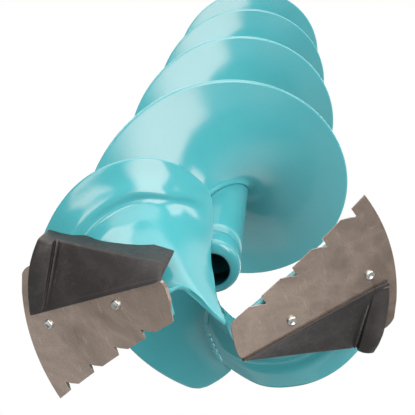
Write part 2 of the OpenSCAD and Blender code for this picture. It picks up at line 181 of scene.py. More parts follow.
def lathe_solid(profile, seg=96, wobble=None):
    """An open profile that starts and ends on the axis, turned into a solid."""
    verts, faces = spin(profile[1:-1], seg, wobble=wobble), []
    m, pole = len(profile) - 2, len(verts)
    verts += [(0, 0, profile[0][1]), (0, 0, profile[-1][1])]
    for s in range(seg):
        t = (s + 1) % seg
        for i in range(m - 1):
            faces.append((s * m + i, t * m + i, t * m + i + 1, s * m + i + 1))
        faces.append((pole, t * m, s * m))
        faces.append((pole + 1, s * m + m - 1, t * m + m - 1))
    return verts, outward(verts, faces)


def shell(sheet, normals, thickness, edge=0.9, steps=5):
    """A sheet over a grid of points, thickened along the normals, with rounded edges."""
    sheet, normals = np.asarray(sheet, float), np.asarray(normals, float)
    n, m = sheet.shape[0] - 1, sheet.shape[1] - 1
    half = normals * np.broadcast_to(thickness, sheet.shape[:2])[..., None] / 2
    mid = sheet + half
    border = [(0, j) for j in range(m + 1)] + [(i, m) for i in range(1, n + 1)]
    border += [(n, j) for j in range(m - 1, -1, -1)] + [(i, 0) for i in range(n - 1, 0, -1)]
    inset, out = mid.copy(), {}
    for i, j in border:
        o = np.zeros(3)
        for on_side, inner in ((i == 0, (1, j)), (i == n, (n - 1, j)),
                               (j == 0, (i, 1)), (j == m, (i, m - 1))):
            if on_side:
                o += unit(mid[i, j] - mid[inner])
        o -= normals[i, j] * np.dot(o, normals[i, j])
        out[i, j] = unit(o)
        inset[i, j] = mid[i, j] - out[i, j] * edge
    verts = list((inset + half).reshape(-1, 3)) + list((inset - half).reshape(-1, 3))
    w = m + 1
    k = (n + 1) * w
    faces = []
    for i in range(n):
        for j in range(m):
            a, b = i * w + j, (i + 1) * w + j
            faces.append((a, a + 1, b + 1, b))
            faces.append((k + a, k + b, k + b + 1, k + a + 1))
    count = len(border)
    rings = [[i * w + j for i, j in border]]
    for s in range(1, steps):
        a = math.pi * (0.5 - s / steps)
        rings.append(list(range(len(verts), len(verts) + count)))
        for ij in border:
            verts.append(inset[ij] + half[ij] * math.sin(a) + out[ij] * edge * math.cos(a))
    rings.append([k + i * w + j for i, j in border])
    for upper, lower in zip(rings, rings[1:]):
        for q in range(count):
            r = (q + 1) % count
            faces.append((upper[q], upper[r], lower[r], lower[q]))
    return verts, outward(verts, faces)


# ------------------------------------------------------------------ objects


def add_object(name, data):
    obj = bpy.data.objects.new(name, data)
    bpy.context.scene.collection.objects.link(obj)
    return obj


def dress(obj, body, finish, *replaced):
    """Give an object its finish and the body it rides on, and hide the CAD nodes it stands
    for.
    """
    material, slot = finish
    obj.data.materials.clear()
    obj.data.materials.append(material)
    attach(obj, body)
    if replaced:
        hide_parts(*replaced)
    return obj


def part(name, shape, body, finish, *replaced, flip=False, flat=False):
    """A dressed object from points and faces in millimetres; flip gives it a half turn."""
    verts, faces = shape
    if flip:
        verts = turned(verts)
    mesh = bpy.data.meshes.new(name)
    mesh.from_pydata([tuple(float(c) * MM for c in v) for v in verts], [],
                     [tuple(int(i) for i in f) for f in faces])
    mesh.validate()
    bm = bmesh.new()
    bm.from_mesh(mesh)
    bmesh.ops.recalc_face_normals(bm, faces=bm.faces)
    bm.to_mesh(mesh)
    bm.free()
    if not flat:
        mesh.polygons.foreach_set("use_smooth", [True] * len(mesh.polygons))
    mesh.update()
    return dress(add_object(name, mesh), body, finish, *replaced)


def bevel(obj, width, segments=2, angle=35):
    m = obj.modifiers.new("Bevel", "BEVEL")
    m.width = width * MM
    m.segments = segments
    m.limit_method = "ANGLE"
    m.angle_limit = angle * RAD
    m.harden_normals = True
    m.use_clamp_overlap = True


# ------------------------------------------------------------------ materials


class Graph:
    """Short-hand for building a node tree."""

    def __init__(self, tree):
        self.tree = tree

    def feed(self, socket, value):
        if isinstance(value, bpy.types.NodeSocket):
            self.tree.links.new(value, socket)
        else:
            socket.default_value = value

    def node(self, kind, inputs=None, **settings):
        node = self.tree.nodes.new("ShaderNode" + kind)
        for key, value in settings.items():
            setattr(node, key, value)
        for key, value in (inputs or {}).items():
            self.feed(node.inputs[key], value)
        return node

    def math(self, op, *values):
        return self.node("Math", dict(enumerate(values)), operation=op).outputs[0]

    def span(self, value, across, to=(0.0, 1.0), kind="LINEAR"):
        """The value carried from one range to another."""
        return self.node("MapRange", {
            "Value": value, "From Min": across[0], "From Max": across[1],
            "To Min": to[0], "To Max": to[1]}, interpolation_type=kind).outputs["Result"]


class Surface(Graph):
    """A principled material textured in object space."""

    def __init__(self, name):
        self.material = bpy.data.materials.new(name)
        self.material.use_nodes = True
        super().__init__(self.material.node_tree)
        self.bsdf = self.tree.nodes["Principled BSDF"]
        self.space = self.node("TexCoord").outputs["Object"]

    def noise(self, scale, detail, rough, dist=0.0, vec=None):
        return self.node("TexNoise", {
            "Scale": scale, "Detail": detail, "Roughness": rough, "Distortion": dist,
            "Vector": vec or self.space}).outputs["Fac"]

    def ramp(self, fac, stops):
        ramp = self.node("ValToRGB", {"Fac": fac})
        elements = ramp.color_ramp.elements
        while len(elements) < len(stops):
            elements.new(0.5)
        for element, (position, colour) in zip(elements, stops):
            element.position = position
            element.color = colour
        return ramp.outputs["Color"]

    def mix(self, fac, a, b):
        # sockets 6, 7 and output 2 are the colour ones
        return self.node("Mix", {"Factor": fac, 6: a, 7: b}, data_type="RGBA").outputs[2]

    def bump(self, height, strength, distance, under=None):
        inputs = {"Strength": strength, "Distance": distance, "Height": height}
        if under is not None:
            inputs["Normal"] = under
        return self.node("Bump", inputs).outputs["Normal"]

    def set(self, name, value):
        self.feed(self.bsdf.inputs[name], value)


def paint_material():
    """Glossy teal powder coat: faint tone drift, orange peel, a few specks of dust."""
    s = Surface("teal_powder_coat")
    drift = s.noise(scale=14, detail=3, rough=0.5)
    tone = s.ramp(drift, stops=[(0.3, srgb(62, 147, 155)), (0.7, srgb(70, 155, 163))])
    speck = s.span(s.noise(scale=900, detail=2, rough=0.6), across=(0.74, 0.8))
    s.set("Base Color", s.mix(s.math("MULTIPLY", speck, 0.25), tone, srgb(150, 205, 210)))
    gloss = s.noise(scale=60, detail=4, rough=0.6)
    s.set("Roughness", s.span(gloss, across=(0.3, 0.7), to=(0.11, 0.17)))
    s.set("IOR", 1.62)
    s.set("Specular Tint", (1.0, 0.68, 0.64, 1))
    waves = s.bump(s.noise(scale=90, detail=2, rough=0.5), strength=0.05, distance=0.001)
    s.set("Normal", s.bump(s.noise(scale=420, detail=3, rough=0.55),
                           strength=0.06, distance=0.0004, under=waves))
    return s.material


def steel_material():
    """Satin stainless blade: fine speckled grain, broad warm cloudiness, light scratches."""
    s = Surface("satin_blade_steel")
    cloud = s.noise(scale=17, detail=5, rough=0.6, dist=1.2)
    tone = s.ramp(cloud, stops=[(0.3, srgb(122, 110, 101)), (0.5, srgb(172, 156, 144)),
                                (0.72, srgb(132, 121, 113))])
    grain = s.span(s.noise(scale=1500, detail=2, rough=0.7), across=(0.3, 0.7))
    patch = s.span(s.noise(scale=16, detail=3, rough=0.6, dist=0.4), across=(0.42, 0.62))
    depth = s.math("MULTIPLY", grain, s.span(patch, across=(0, 1), to=(0.1, 0.35)))
    tone = s.mix(depth, tone, srgb(104, 96, 91))
    stretched = s.node("Mapping", {"Scale": (1, 0.05, 1), "Rotation": (0.2, 0.1, 0.5),
                                   "Vector": s.space}).outputs["Vector"]
    scratch = s.noise(scale=900, detail=2, rough=0.5, vec=stretched)
    line = s.span(scratch, across=(0.66, 0.72))
    s.set("Base Color", s.mix(s.math("MULTIPLY", line, 0.2), tone, srgb(210, 204, 198)))
    s.set("Metallic", 0.85)
    gloss = s.noise(scale=200, detail=4, rough=0.6)
    s.set("Roughness", s.span(gloss, across=(0.3, 0.7), to=(0.2, 0.28)))
    scored = s.bump(scratch, strength=0.05, distance=0.0002)
    s.set("Normal", s.bump(s.noise(scale=1800, detail=2, rough=0.6),
                           strength=0.12, distance=0.0002, under=scored))
    return s.material


def moulded_material():
    """Black moulded plastic with a fine spark-eroded grain, pale rubbed patches and a painted
    highlight lightening its ridges and edges.
    """
    s = Surface("moulded_black_plastic")
    rub = s.span(s.noise(scale=70, detail=6, rough=0.7, dist=0.8), across=(0.45, 0.75))
    fine = s.span(s.noise(scale=520, detail=4, rough=0.75), across=(0.35, 0.7))
    tone = s.ramp(rub, stops=[(0.0, srgb(36, 34, 34)), (1.0, srgb(56, 54, 54))])
    tone = s.mix(s.math("MULTIPLY", fine, 0.5), tone, srgb(32, 30, 29))
    chalk = s.span(s.noise(scale=240, detail=5, rough=0.8, dist=1.2), across=(0.62, 0.72))
    tone = s.mix(s.math("MULTIPLY", chalk, 0.35), tone, srgb(112, 108, 106))
    # painted highlight: the ridge and other sharp convex edges are lightened, found from the
    # mesh's pointiness
    painted_edge_highlight = s.span(s.node("NewGeometry").outputs["Pointiness"], across=(0.53, 0.62))
    s.set("Base Color", s.mix(s.math("MULTIPLY", painted_edge_highlight, 0.55), tone, srgb(138, 130, 126)))
    s.set("Roughness", s.span(fine, across=(0, 1), to=(0.44, 0.6)))
    s.set("Specular IOR Level", 0.38)
    coarse = s.bump(s.noise(scale=160, detail=3, rough=0.6), strength=0.2, distance=0.0006)
    s.set("Normal", s.bump(s.noise(scale=900, detail=4, rough=0.7),
                           strength=0.3, distance=0.0003, under=coarse))
    return s.material


def zinc_material():
    """Bright zinc plate with a faint mottle."""
    s = Surface("bright_zinc")
    s.set("Base Color", s.ramp(s.noise(scale=300, detail=4, rough=0.6),
                               stops=[(0.3, srgb(176, 180, 178)), (0.7, srgb(214, 216, 212))]))
    s.set("Metallic", 1.0)
    gloss = s.noise(scale=500, detail=3, rough=0.6)
    s.set("Roughness", s.span(gloss, across=(0.3, 0.7), to=(0.2, 0.36)))
    s.set("Normal", s.bump(s.noise(scale=700, detail=3, rough=0.6),
                           strength=0.08, distance=0.0002))
    return s.material


def bush_material():
    """Off-white acetal bush."""
    s = Surface("pale_bush_plastic")
    s.set("Base Color", s.ramp(s.noise(scale=120, detail=3, rough=0.5),
                               stops=[(0.3, srgb(206, 204, 194)), (0.7, srgb(222, 220, 212))]))
    gloss = s.noise(scale=300, detail=3, rough=0.5)
    s.set("Roughness", s.span(gloss, across=(0.3, 0.7), to=(0.35, 0.45)))
    s.set("Normal", s.bump(s.noise(scale=600, detail=2, rough=0.5),
                           strength=0.05, distance=0.0002))
    return s.material


def grip_material():
    """Soft black grip plastic with a fine pebble texture."""
    s = Surface("black_grip_plastic")
    pebble = s.node("TexVoronoi", {"Scale": 900, "Vector": s.space}).outputs["Distance"]
    s.set("Base Color", s.ramp(s.noise(scale=80, detail=4, rough=0.6),
                               stops=[(0.3, srgb(32, 32, 33)), (0.75, srgb(46, 46, 47))]))
    s.set("Roughness", s.span(pebble, across=(0.0, 0.8), to=(0.62, 0.45)))
    s.set("Normal", s.bump(pebble, strength=0.25, distance=0.0002))
    return s.material


# a finish is a material and a slot name
PAINT = (paint_material(), "paint")
STEEL = (steel_material(), "blade_steel")
SHOE = (moulded_material(), "shoe_plastic")
ZINC = (zinc_material(), "zinc")
BUSH = (bush_material(), "bush_plastic")
GRIP = (grip_material(), "grip_plastic")

# ------------------------------------------------------------------ head dimensions

SHAFT_R = 12.2
CUT_R = 77.5  # the cutting circle
BLADE_T = 2.0
LEAF_T = 2.2
TILT = 22.5  # rise of the blade plane from the horizontal
HEADING = 25.6  # direction in plan in which the blade plane rises
RISE = math.tan(TILT * RAD)
BED_H = BLADE_T / math.cos(TILT * RAD) + 0.22  # blade thickness measured upright, and a gap
RIM_Z = 43.5

# the cutting edge in plan, and the directions along and across it
EDGE_IN = np.array([10, 4.8])
TIP_ANGLE = -11.2
EDGE_OUT = polar(CUT_R, TIP_ANGLE, 0)[:2]
EDGE_L = np.linalg.norm(EDGE_OUT - EDGE_IN)
ALONG = unit(EDGE_OUT - EDGE_IN)
ACROSS = np.array([-ALONG[1], ALONG[0]])

# the blade plane's own axes, from the inner end of the cutting edge
ORIGIN = np.array([*EDGE_IN, 0])
PLANE_Y = np.array([-math.sin(HEADING * RAD), math.cos(HEADING * RAD), 0.0])
PLANE_X = np.array([PLANE_Y[1] * math.cos(TILT * RAD), -PLANE_Y[0] * math.cos(TILT * RAD),
                    math.sin(TILT * RAD)])
PLANE_Z = np.cross(PLANE_X, PLANE_Y)


def bed(x, y):
    """Height of the blade's underside at a plan point."""
    dx, dy = x - EDGE_IN[0], y - EDGE_IN[1]
    return RISE * (dx * math.cos(HEADING * RAD) + dy * math.sin(HEADING * RAD))


def on_bed(x, y, h=0):
    return np.array([x, y, bed(x, y) + BED_H + h])


def plate(p, h):
    """The point of the blade plane at a plan point, raised h along the plane's normal."""
    dx, dy = p[0] - EDGE_IN[0], p[1] - EDGE_IN[1]
    u = (dx * math.cos(HEADING * RAD) + dy * math.sin(HEADING * RAD)) / math.cos(TILT * RAD)
    v = -dx * math.sin(HEADING * RAD) + dy * math.cos(HEADING * RAD)
    return ORIGIN + PLANE_X * u + PLANE_Y * v + PLANE_Z * h


# ------------------------------------------------------------------ head leaves
# Borders as x, y, z points: the root by the shaft, the rim outside, the tail joining their
# ends. The web leaf comes down to the shaft's foot; the lap leaf meets the flight.

RIM_WEB = [on_bed(70, -6.8), on_bed(73.2, 9), on_bed(72.6, 20, 2.5),
           polar(75.6, 27, RIM_Z - 6), polar(74.6, 38, RIM_Z + 0.8),
           polar(72.2, 52, RIM_Z + 1.3), polar(69.2, 65, RIM_Z + 2.1),
           polar(64.5, 78, RIM_Z + 3.8), polar(57.5, 90, RIM_Z + 7.8),
           polar(49.5, 100, RIM_Z + 13.2)]
ROOT_WEB = [on_bed(9.6, 6.4), on_bed(8.3, 12.6), on_bed(7.2, 16.8, 0.5),
            [5.7, 15.5, 6.2], [3.4, 12.9, 12], [0.9, 9.6, 13.4], [-1.8, 5.8, 10],
            [-4.2, 2.4, 5.6], [-6.6, -0.9, 2.4], [-8.7, -4, 1]]
TAIL_WEB = [ROOT_WEB[-1], [-6.5, -0.5, 13], [-5.2, 1.4, 26], [-4.2, 2.9, 38],
            [-3.4, 5, 49], [-4.6, 9.2, 56.4], [-7.4, 13.8, 61.6], [-10.4, 20, 63.4],
            [-13, 27, 63.8], [-13.4, 35, 62], [-8.6, 48.8, 56.7]]
ROOT_LAP = [*ROOT_WEB[:2], on_bed(7.4, 17.4, 0.5), [5.6, 16.6, 8], [3.2, 15.2, 17],
            [0.8, 14, 27], [-1.4, 13.2, 37], [-3.4, 12.8, 46], [-5, 12.9, 53],
            [-6.6, 13.2, 58.6]]
TAIL_LAP = [ROOT_LAP[-1], [-9.5, 17, 62.5], [-13.5, 22, 66], [-17, 29, 67.2],
            [-17.5, 37.5, 64.9], [-16.5, 46.7, 62.5]]
RIM_LAP = [*RIM_WEB[:8], polar(58.6, 93, RIM_Z + 8.9), TAIL_LAP[-1]]
BORDERS = {"root": (ROOT_LAP, ROOT_WEB), "rim": (RIM_LAP, RIM_WEB),
           "tail": (TAIL_LAP, TAIL_WEB)}


@functools.lru_cache(maxsize=None)
def border_point(border, web, u):
    return curve(BORDERS[border][web], u)


def leaf_point(u, v, web):
    """A leaf point: u from the blade to the tail, v from root to rim."""
    tail = BORDERS["tail"][web]
    straight = lerp(np.asarray(tail[0], float), np.asarray(tail[-1], float), v)
    tail_bow = border_point("tail", web, v) - straight
    tail_share = clamp01((u - 0.22) / 0.78) ** 2.2
    onset = smooth((u - 0.3) / 0.2)
    middle = onset * (1 - smooth((u - 0.72) / 0.28))
    dish = -5 * math.sin(math.pi * clamp01(v)) * middle
    # the pressed step: a sharp outer flank, and on the web leaf an inner flank that opens
    # out towards the far end
    far = smooth((u - 0.72) / 0.16) if web else 0.0
    press = onset * (1 - smooth((u - 0.88) / 0.1)) * lerp(1, 0.62, far) if web else middle
    offset = v - 0.75 + 0.03 * far
    flank = lerp(0.055, 0.042 if offset > 0 else 0.15, far)
    step = 4.0 * press * math.exp(-(offset / flank) ** 2)
    across = lerp(border_point("root", web, u), border_point("rim", web, u), v)
    return across + tail_share * tail_bow + np.array([0, 0, dish + step])


def leaf_normal(u, v, web):
    e = 0.01
    du = leaf_point(min(u + e, 1), v, web) - leaf_point(max(u - e, 0), v, web)
    dv = leaf_point(u, min(v + e, 1), web) - leaf_point(u, max(v - e, 0), web)
    # beside the shaft the web leaf thickens in one fixed direction
    fixed = smooth((u - 0.22) / 0.3) * (1 - smooth(v / 0.3)) if web else 0
    return unit(lerp(unit(np.cross(dv, du)), np.array([0.79, -0.59, 0.15]), fixed))


def leaf(name, web, flip, node):
    n, m = 110, 64
    grid = [[(i / n, j / m) for j in range(m + 1)] for i in range(n + 1)]
    sheet = np.array([[leaf_point(u, v, web) for u, v in row] for row in grid])
    normals = [[leaf_normal(u, v, web) for u, v in row] for row in grid]
    if web:  # relax the fold near the root's far half, with every border left where it is
        u, v = np.moveaxis(np.array(grid), 2, 0)
        ease = np.clip((u - 0.4) / 0.15, 0, 1) * np.clip((0.5 - v) / 0.15, 0, 1)
        ease[[0, -1], :] = 0
        ease[:, [0, -1]] = 0
        for _ in range(160):
            mean = (np.roll(sheet, 1, 0) + np.roll(sheet, -1, 0)
                    + np.roll(sheet, 1, 1) + np.roll(sheet, -1, 1)) / 4
            sheet = sheet + 0.9 * ease[..., None] * (mean - sheet)
    return part(name, shell(sheet, normals, LEAF_T), "auger", PAINT, node, flip=flip)


leaf_a = leaf("leaf_a", True, False, "head_leaf_a")
leaf("leaf_b", False, True, "head_leaf_b")

# ------------------------------------------------------------------ screw flight

FLIGHT_R = 67.68
FLIGHT_T = 2.2
PITCH = 158.3
TURNS = 4
FLIGHT_Z = 95.9  # height of the flight at 360 degrees
FLIGHT_STEPS = 120  # rows per turn
FULL_ANGLE = 340  # where the rows become evenly spaced
START_ROWS = 14
KINK_R, KINK_ANGLE, KINK_BLEND = 52, 285, 0.9  # the corner of the starting edge
FILLET_R = 3.2
# closer together near the shaft and the rim
FLIGHT_RADII = [SHAFT_R - 0.4, 12.5, 12.9, 13.5, 14.3, 15.4, 17, 20, 24, 29, 34, 39, 44, 47.5,
                50, 52, 54, 57, 60, 62.5, 64.5, 66.3, FLIGHT_R]


def flight_start(r):
    """Angle of the flight's starting edge: two straight runs blended at the kink."""
    inner = 15 - 15 * (r - SHAFT_R) / (KINK_R - SHAFT_R)
    outer = 17 * (r - KINK_R) / (FLIGHT_R - KINK_R)
    blend = KINK_BLEND * math.log(math.exp(inner / KINK_BLEND) + math.exp(outer / KINK_BLEND))
    return KINK_ANGLE + blend + 2.4 * clamp01((r - 63.7) / 4) ** 3


def flight_point(row, r):
    """Point, normal and thickness of the flight."""
    if row >= START_ROWS:
        a = FULL_ANGLE + (row - START_ROWS) * 360 / FLIGHT_STEPS
    else:
        a = lerp(flight_start(r), FULL_ANGLE, row / START_ROWS)
    radial = [math.cos(a * RAD), math.sin(a * RAD), 0]
    forward = [-math.sin(a * RAD), math.cos(a * RAD), PITCH / (2 * math.pi * r)]
    normal = unit(np.cross(radial, forward))
    # a slightly uneven weld fillet swells both faces beside the shaft
    ripple = 0.18 * math.sin(a * 2.2) + 0.12 * math.sin(a * 3.7 + 1)
    away = 1 - clamp01((r - SHAFT_R) / FILLET_R)
    fillet = (2.6 + ripple) * (1 - math.sqrt(max(0.0, 1 - away ** 2)))
    point = polar(r, a, FLIGHT_Z + PITCH * (a - 360) / 360) - normal * fillet
    thickness = FLIGHT_T * lerp(normal[2], 1.0, smooth((r - 12) / 8)) + 2 * fillet
    return point, normal, thickness


def flight():
    rows = range(FLIGHT_STEPS * TURNS + 8)
    grid = [[flight_point(row, r) for r in FLIGHT_RADII] for row in rows]
    sheet, normals, thickness = ([[p[k] for p in row] for row in grid] for k in range(3))
    shape = shell(sheet, normals, np.array(thickness))
    part("flight", shape, "auger", PAINT, "screw_flight")


def lap_weld():
    """The weld where the second leaf laps the start of the flight."""
    n, seg = 90, 14
    path = turned([curve(TAIL_LAP, lerp(0.06, 0.97, k / n)) for k in range(n + 1)])
    loops = []
    for k, point in enumerate(path):
        tangent = unit(path[min(k + 1, n)] - path[max(k - 1, 0)])
        level = unit(np.cross(tangent, [0, 0, 1]))
        upright = np.cross(tangent, level)
        taper = min(1.0, math.sqrt(max(0.02, min(k, n - k) / 6)))
        r = taper * (1.25 + 0.12 * math.sin(k * 1.1) + 0.08 * math.sin(k * 2.3))
        angles = [2 * math.pi * q / seg for q in range(seg)]
        loops.append([point + np.array([0, 0, 0.3])
                      + r * (math.cos(a) * level * 1.25 + math.sin(a) * upright)
                      for a in angles])
    part("lap_weld", loft(loops), "auger", PAINT)


flight()
lap_weld()

# ------------------------------------------------------------------ blades

EDGE_BOW = 1.2
NOTCH_START, NOTCH_PITCH, NOTCHES = 12.6, 15.553, 4
# one notch in the cutting edge: distance along the edge, depth
NOTCH = [(-3.2, 0), (-0.2, 2.09), (1.3, 3.6), (1.9, 3.7), (2.4, 0)]
EDGE_GRIND, TIP_GRIND = 2.6, 2.2  # how far the upper corner is ground back
CORNER_R = 8
CORNER = polar(69.6, 29.6, 0)[:2]
# the trailing and inner sides, as x, y
BLADE_BACK = [(62.6, 30), (61.6, 23.4), (11.2, 22.45), (9.8, 22.35), (8.7, 22.0), (7.9, 21.4),
              (7.3, 20.5), (6.95, 19.5), (6.85, 18.3), (7.6, 13.5)]


def edge_point(s, depth=0):
    bow = EDGE_BOW * (1 - (2 * s / EDGE_L - 1) ** 2)
    return EDGE_IN + ALONG * s + ACROSS * (depth + bow)


def blade_outline():
    """Plan points of a blade, each with how far its upper corner is ground back."""
    edge = [edge_point(0)]
    for i in range(NOTCHES):
        s = NOTCH_START + i * NOTCH_PITCH
        edge += [edge_point(s + ds, depth) for ds, depth in NOTCH]
        if i < NOTCHES - 1:
            edge.append(edge_point(s + 7.5))
    # along the cutting circle, then the rounded trailing corner
    rest = [polar(CUT_R, lerp(TIP_ANGLE, 27.2, k / 22), 0)[:2] for k in range(1, 22)]
    corner = [CORNER + polar(CORNER_R, a, 0)[:2] for a in range(14, 130, 8)]
    rest += [q for q in corner if np.linalg.norm(q) <= CUT_R]
    rest += [np.array(q) for q in BLADE_BACK]
    return ([(p, EDGE_GRIND) for p in edge] + [(edge_point(EDGE_L), TIP_GRIND)]
            + [(p, 0) for p in rest])


def blade(name, flip, node):
    outline = blade_outline()
    low = [plate(p, 0) for p, _ in outline]
    mid = [plate(p, 0.5 if grind else BLADE_T / 2) for p, grind in outline]
    top = [plate(p + ACROSS * grind, BLADE_T) for p, grind in outline]
    obj = part(name, loft([low, mid, top]), "auger", STEEL, node, flip=flip, flat=True)
    bevel(obj, width=0.18, angle=25)


blade("blade_a" if False else "cutter_a", False, "blade_a")
blade("cutter_b", True, "blade_b")

# ------------------------------------------------------------------ blade screws
# Threaded end below the blade, washer and hex head above the leaf.

SCREWS = [(30.4, 17.3), (64.6, 16.9)]  # x, y
HEAD_H = BLADE_T + LEAF_T + 2.6  # underside of the head above the blade plane
SCREW_R = 2.0
SCREW_PITCH = 0.7
# radius, height
SHANK = [(0, -0.72), (0.5, -0.74), (0.95, -0.86), (1.3, -1.0), (1.55, -1.0), (1.8, -0.86),
         *[(SCREW_R, -0.8 + 0.1 * s) for s in range(1, 9)],
         (SCREW_R, 1.0), (SCREW_R, HEAD_H), (0, HEAD_H)]
# corner radius, squeeze in x, height above the head's underside
HEX_HEAD = [(3.75, 0.985, 0), (3.95, 1, 0.25), (3.95, 1, 2.2), (3.6, 0.985, 2.6)]
WASHER = [(2.15, -0.9), (2.15, -0.1), (4.2, -0.1), (4.4, -0.3), (4.4, -0.7), (4.2, -0.9)]


def screw_thread(r, h, a):
    if h < -0.99 or r < 1.2 or h > 2:
        return r, h
    return r + 0.13 * triangle_wave(h / SCREW_PITCH + a / (2 * math.pi)) - 0.09, h


def blade_screw(tag, flip, p):
    """The shank, head and washer of one screw."""
    axes, foot = np.array([PLANE_X, PLANE_Y, PLANE_Z]).T, plate(p, 0)

    def add(name, shape, flat=False):
        placed = [foot + axes @ np.asarray(v, float) for v in shape[0]]
        return part(name + tag, (placed, shape[1]), "auger", ZINC, flip=flip, flat=flat)
    shank = add("screw_shank_", lathe_solid(SHANK, 48, screw_thread))
    loops = [[(r * math.cos(a * RAD) * squeeze, r * math.sin(a * RAD), HEAD_H + h)
              for a in range(0, 360, 60)] for r, squeeze, h in HEX_HEAD]
    head = add("screw_head_", loft(loops), flat=True)
    bevel(head, width=0.25)
    washer = add("screw_washer_", lathe(raised(HEAD_H, WASHER), 64))
    return shank, washer


screws = [blade_screw(side + str(k), side == "b", p)
          for side in "ab" for k, p in enumerate(SCREWS)]
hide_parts("blade_screws")
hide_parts("blade_screw_washers")

# ------------------------------------------------------------------ moulded shoes
# A section runs front edge, underside, ridge, wall, top; t goes from the shaft outwards.

FRONT_DROP = 1.8  # front edge below the blade plane
ROUND_STEPS = 4
UP = np.array([0, 0, 1])
# corner rounding: front edge, step (2), underside (6), ridge, wall, top (3), front top
SHOE_ROUND = [0.7, 0.35, 0.4, 2.0, 0.5, 0.5, 0.5, 0.5, 0.5, 1.1, 0.8, 1, 1, 1, 0.6]
UNDER_CORNERS = 10  # how many of those corners belong to the underside
# the groove pair and the step up to the proud outer strip: t, drop
SHOE_GROOVES = [(0.872, -0.45), (0.878, -0.6), (0.884, -0.45), (0.888, 0.2), (0.892, 0.35),
                (0.897, 0.2), (0.901, -0.3), (0.906, -0.45), (0.911, 0.6), (0.915, 2.6),
                (0.92, 3.5), (0.928, 3.8)]
STRIP_START, STRIP_DROP = SHOE_GROOVES[-1]

leaf_tree = BVHTree.FromPolygons([tuple(v.co) for v in leaf_a.data.vertices],
                                 [tuple(p.vertices) for p in leaf_a.data.polygons])


def leaf_hit(origin, direction):
    """Where a line from below meets the leaf, in millimetres, or None."""
    loc = leaf_tree.ray_cast(Vector([float(c) * MM for c in origin]),
                             Vector([float(c) for c in unit(direction)]), 0.12)[0]
    return None if loc is None else np.array(loc) / MM


def shoe_front(t, h):
    x, y = lerp(np.array([7, 21.6]), np.array([70.4, 22.8]), t)
    return np.array([x, y, bed(x, y) + h])


def shoe_ridge(t):
    return lerp(np.array([5.8, 25.5, 9.6]), np.array([50.6, 49.6, 30.4]), t)


def shoe_wall(t):
    return lerp(np.array([2.2, 24, 24]), np.array([51.4, 46, 56]), t) + UP * 14 * t * (1 - t)


def rounded(points, radii):
    """A closed polygon with each corner rounded by an arc-like cut."""
    out = []
    for i, (b, radius) in enumerate(zip(points, radii)):
        a, c = points[i - 1], points[(i + 1) % len(points)]
        r = min(radius, 0.45 * np.linalg.norm(a - b), 0.45 * np.linalg.norm(c - b))
        p, q = b + unit(a - b) * r, b + unit(c - b) * r
        for s in range(ROUND_STEPS + 1):
            t = s / ROUND_STEPS
            out.append((1 - t) ** 2 * p + 2 * t * (1 - t) * b + t * t * q)
    return out


def shoe_top(t):
    """The wall's top, three points across and the front top, held under the leaf."""
    base, wall = shoe_ridge(t), shoe_wall(t)
    up = wall - base
    hit = leaf_hit(base + up * 0.02, up)
    if hit is not None and np.linalg.norm(hit - base) < np.linalg.norm(up):
        wall = hit + unit(up) * 0.7
    front = shoe_front(t, 4.4)
    hit = leaf_hit(front - UP * 3.5, UP)
    if hit is not None and hit[2] < front[2] + 0.4:
        front = np.array([front[0], front[1], hit[2] - 0.3])
    mids = []
    for s in (0.25, 0.5, 0.75):
        x, y, z = lerp(wall, front, s)
        hit = leaf_hit((x, y, min(wall[2], front[2]) - 14), UP)
        mids.append(np.array([x, y, z if hit is None else min(z, hit[2] - 0.3)]))
    return [wall, *mids, front]


def shoe_section(t, drop, bulge):
    front = shoe_front(t, -FRONT_DROP - 0.05 * drop)
    ridge = shoe_ridge(t) - UP * drop
    # the underside: lip along the front edge, a shallow step, then the broad face
    span = ridge - front
    length = np.linalg.norm(span)
    back = unit(span)
    below = unit(np.cross(np.array([1.0, 0.1, 0.3]), back))
    below = below if below[2] < 0 else -below
    step = [front + back * min(1.9, 0.3 * length) + below * 0.05,
            front + back * min(2.8, 0.4 * length) - below * 0.3]
    face_start = min(6, 0.6 * length)
    face = [front + back * lerp(face_start, length, q / 6) - below * 0.25 * (1 - q / 6)
            for q in range(6)]
    out = rounded([front, *step, *face, ridge, *shoe_top(t)], SHOE_ROUND)
    if bulge:
        for k, p in enumerate(out):
            s = clamp01(np.dot(p - front, span) / (length * length))
            radial = unit([p[0], p[1], 0])
            x, y, z = p + radial * bulge * (8.5 * s * (1 - s) + 2.0 * s + 0.5)
            if k < UNDER_CORNERS * (ROUND_STEPS + 1):
                z = lerp(z, min(z, bed(x, y) - 1.7), smooth((52 - y) / 8) * bulge)
            out[k] = np.array([x, y, z])
    return out


def shrunk(loop, amount, shift):
    centre = sum(loop) / len(loop)
    return [lerp(p, centre, amount) + shift for p in loop]


def shoe(name, flip, node):
    stations = [(lerp(0.012, 0.868, k / 36), 0.0, 0.0) for k in range(37)]
    stations += [(t, drop, 0.0) for t, drop in SHOE_GROOVES]
    for k in range(1, 9):
        t = lerp(STRIP_START, 0.992, k / 8)
        stations.append((t, STRIP_DROP, smooth((t - 0.915) / 0.06)))
    sections = [shoe_section(*station) for station in stations]
    outwards = unit(shoe_front(1, 0) - shoe_front(0, 0))
    inner_end = [shrunk(sections[0], 0.12, np.array([-0.55, -0.2, -0.1])),
                 shrunk(sections[0], 0.04, np.array([-0.35, -0.12, -0.05]))]
    outer_end = [shrunk(sections[-1], amount, outwards * reach)
                 for amount, reach in ((0.03, 0.35), (0.07, 0.55), (0.13, 0.62))]
    part(name, loft(inner_end + sections + outer_end), "auger", SHOE, node, flip=flip)


shoe("shoe_a", False, "blade_shoe_a")
shoe("shoe_b", True, "blade_shoe_b")

# ------------------------------------------------------------------ shaft

TUBE_WALL = 1.6
SHAFT_LO, SHAFT_HI = 70.2, 758.0
RING_LO, RING_TOP = 58.6, 70.15
RING_R = SHAFT_R + 0.45
RING_BORE, BORE_ROUND, FOOT_ROUND = 7.8, 1.9, 2.9


